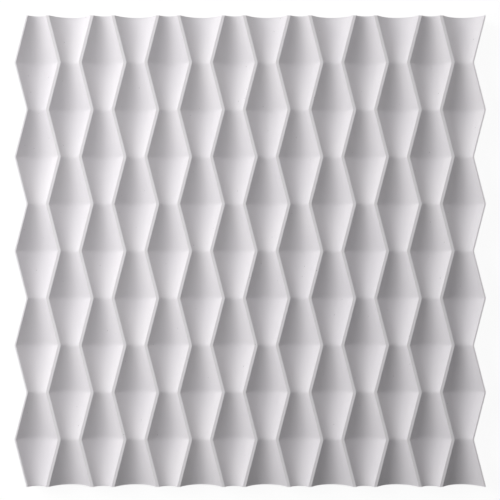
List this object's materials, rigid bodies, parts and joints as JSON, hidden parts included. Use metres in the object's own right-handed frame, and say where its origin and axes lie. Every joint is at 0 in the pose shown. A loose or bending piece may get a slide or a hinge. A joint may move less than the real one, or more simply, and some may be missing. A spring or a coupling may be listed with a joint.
{
  "type": "wall panel",
  "caption": "Square plaster wall panel with zigzag ridges and scooped troughs that open and close in turn; flat back, straight top and bottom edges, zigzag sides that interlock.",
  "frame": {"origin": "middle of the flat back, which is also the middle of the panel's box", "axes": "+X across the panel to the right as it is seen on the wall, +Y up the wall along the ridges, +Z out of the wall; the panel is stored lying on its back"},
  "size_m": [0.5, 0.5, 0.025],
  "materials": {
    "gypsum_plaster": "matt white gypsum plaster, smooth as cast on the face, struck off flat on the back"
  },
  "bodies": {
    "root": {"relief_panel": "gypsum_plaster"}
  },
  "joints": []
}
